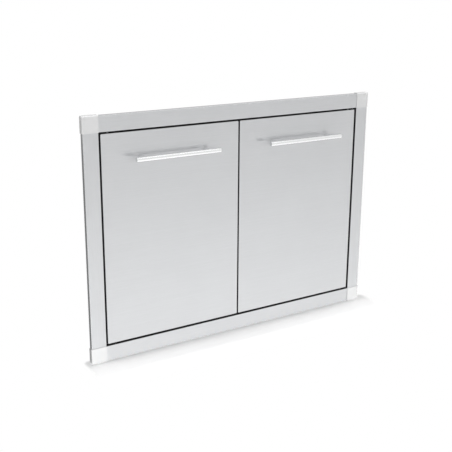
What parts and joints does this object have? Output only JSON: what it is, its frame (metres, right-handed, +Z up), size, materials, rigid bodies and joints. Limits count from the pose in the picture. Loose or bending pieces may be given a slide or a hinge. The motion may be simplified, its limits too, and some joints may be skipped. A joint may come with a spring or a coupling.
{
  "type": "outdoor kitchen access door",
  "caption": "Drop-in stainless double access door for an outdoor kitchen: flanged frame with corner caps, sleeve, and flush doors with bar handles on pivot pins.",
  "frame": {"origin": "centre of the door opening, on the plane where the flange meets the island's wall", "axes": "+X to the right seen from the front, +Y back into the island, +Z up; the doors face -Y"},
  "size_m": [0.8536, 0.1097, 0.6126],
  "materials": {
    "brushed_stainless": "fine brushed grain",
    "smooth_stainless": "smooth satin",
    "handle_stainless": "polished",
    "mill_stainless": "plain mill finish",
    "zinc_plated_steel": "zinc plated",
    "spring_steel": "drawn wire",
    "black_rubber": "matt",
    "black_nylon": "moulded, matt",
    "dark_ferrite": "sintered, matt"
  },
  "bodies": {
    "frame": {"top_rail": "brushed_stainless", "bottom_rail": "brushed_stainless", "left_stile": "brushed_stainless", "right_stile": "brushed_stainless", "corner_cap_top_left": "smooth_stainless", "corner_cap_top_right": "smooth_stainless", "corner_cap_bottom_left": "smooth_stainless", "corner_cap_bottom_right": "smooth_stainless", "sleeve_top": "mill_stainless", "sleeve_bottom": "mill_stainless", "sleeve_left": "mill_stainless", "sleeve_right": "mill_stainless", "reveal_seal_top": "black_rubber", "reveal_seal_bottom": "black_rubber", "reveal_seal_left": "black_rubber", "reveal_seal_right": "black_rubber", "stop_top": "mill_stainless", "stop_bottom": "mill_stainless", "left_catch_housing": "black_nylon", "left_catch_magnet": "dark_ferrite", "left_bumper": "black_rubber", "left_pivot_bush_top": "black_nylon", "left_pivot_bush_bottom": "black_nylon", "right_catch_housing": "black_nylon", "right_catch_magnet": "dark_ferrite", "right_bumper": "black_rubber", "right_pivot_bush_top": "black_nylon", "right_pivot_bush_bottom": "black_nylon"},
    "left_door": {"left_door_panel": "brushed_stainless", "left_door_liner": "mill_stainless", "left_edge_seal": "black_rubber", "left_handle_bar": "handle_stainless", "left_handle_post_outer": "handle_stainless", "left_handle_post_inner": "handle_stainless", "left_handle_screw_outer": "zinc_plated_steel", "left_handle_screw_inner": "zinc_plated_steel", "left_strike_plate": "zinc_plated_steel", "left_pivot_block_top": "zinc_plated_steel", "left_pivot_block_bottom": "zinc_plated_steel", "left_pivot_pin_bottom": "zinc_plated_steel", "left_pivot_spring": "spring_steel"},
    "left_top_pin": {"left_pivot_pin_top": "zinc_plated_steel"},
    "right_door": {"right_door_panel": "brushed_stainless", "right_door_liner": "mill_stainless", "right_edge_seal": "black_rubber", "right_handle_bar": "handle_stainless", "right_handle_post_outer": "handle_stainless", "right_handle_post_inner": "handle_stainless", "right_handle_screw_outer": "zinc_plated_steel", "right_handle_screw_inner": "zinc_plated_steel", "right_strike_plate": "zinc_plated_steel", "right_pivot_block_top": "zinc_plated_steel", "right_pivot_block_bottom": "zinc_plated_steel", "right_pivot_pin_bottom": "zinc_plated_steel", "right_pivot_spring": "spring_steel"},
    "right_top_pin": {"right_pivot_pin_top": "zinc_plated_steel"}
  },
  "joints": [
    {"name": "left_door_hinge", "type": "hinge", "parent": "frame", "child": "left_door", "pos_m": [-0.3613, -0.0052, 0], "axis": [0, 0, -1], "range_deg": [0, 110]},
    {"name": "right_door_hinge", "type": "hinge", "parent": "frame", "child": "right_door", "pos_m": [0.3613, -0.0052, 0], "axis": [0, 0, 1], "range_deg": [0, 110]},
    {"name": "left_pin_slide", "type": "slide", "parent": "left_door", "child": "left_top_pin", "axis": [0, 0, -1], "range_m": [0, 0.007], "stiffness_N_per_m": 700, "springref_m": -0.007, "deforming": ["left_pivot_spring"]},
    {"name": "right_pin_slide", "type": "slide", "parent": "right_door", "child": "right_top_pin", "axis": [0, 0, -1], "range_m": [0, 0.007], "stiffness_N_per_m": 700, "springref_m": -0.007, "deforming": ["right_pivot_spring"]}
  ]
}
